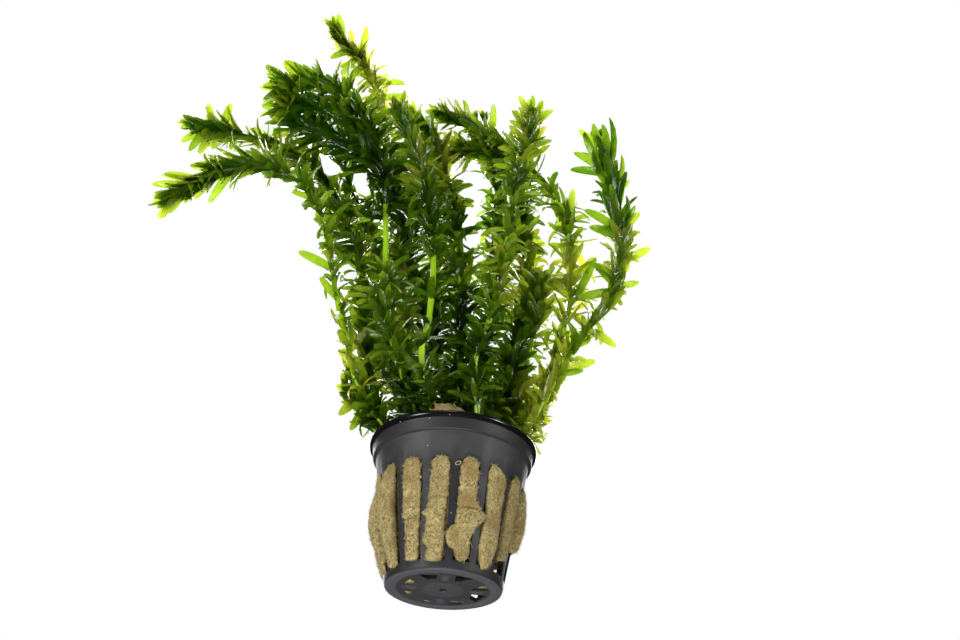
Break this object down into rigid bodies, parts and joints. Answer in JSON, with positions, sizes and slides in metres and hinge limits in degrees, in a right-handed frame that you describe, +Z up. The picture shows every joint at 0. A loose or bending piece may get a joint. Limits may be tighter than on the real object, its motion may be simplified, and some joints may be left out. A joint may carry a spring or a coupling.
{
  "type": "potted brazilian waterweed",
  "caption": "Bunch of Brazilian waterweed, long stems with whorled leaves, held by rock wool in a small black net pot with a slotted wall.",
  "frame": {"origin": "the middle of the pot's flat base, on the surface it stands on", "axes": "+Z up along the pot's axis, -Y to the front, +X to the right seen from the front"},
  "size_m": [0.1773, 0.0921, 0.2435],
  "materials": {
    "pot": "moulded, satin",
    "rock_wool": "matted mineral fibre, damp",
    "waterweed": "wet, waxy leaf"
  },
  "bodies": {
    "root": {"pot": "pot", "rock_wool": "rock_wool", "stem_left_arch": "waterweed", "stem_upper_left": "waterweed", "stem_left_bare": "waterweed", "stem_top": "waterweed", "stem_centre_bare": "waterweed", "stem_centre_right": "waterweed", "stem_right_arch": "waterweed", "stem_right_upright": "waterweed", "stem_right_tall": "waterweed", "stem_right_inner": "waterweed", "stem_back_left": "waterweed", "stem_back_centre": "waterweed", "stem_back_right": "waterweed", "stem_short_left": "waterweed", "stem_short_right": "waterweed"}
  },
  "joints": []
}
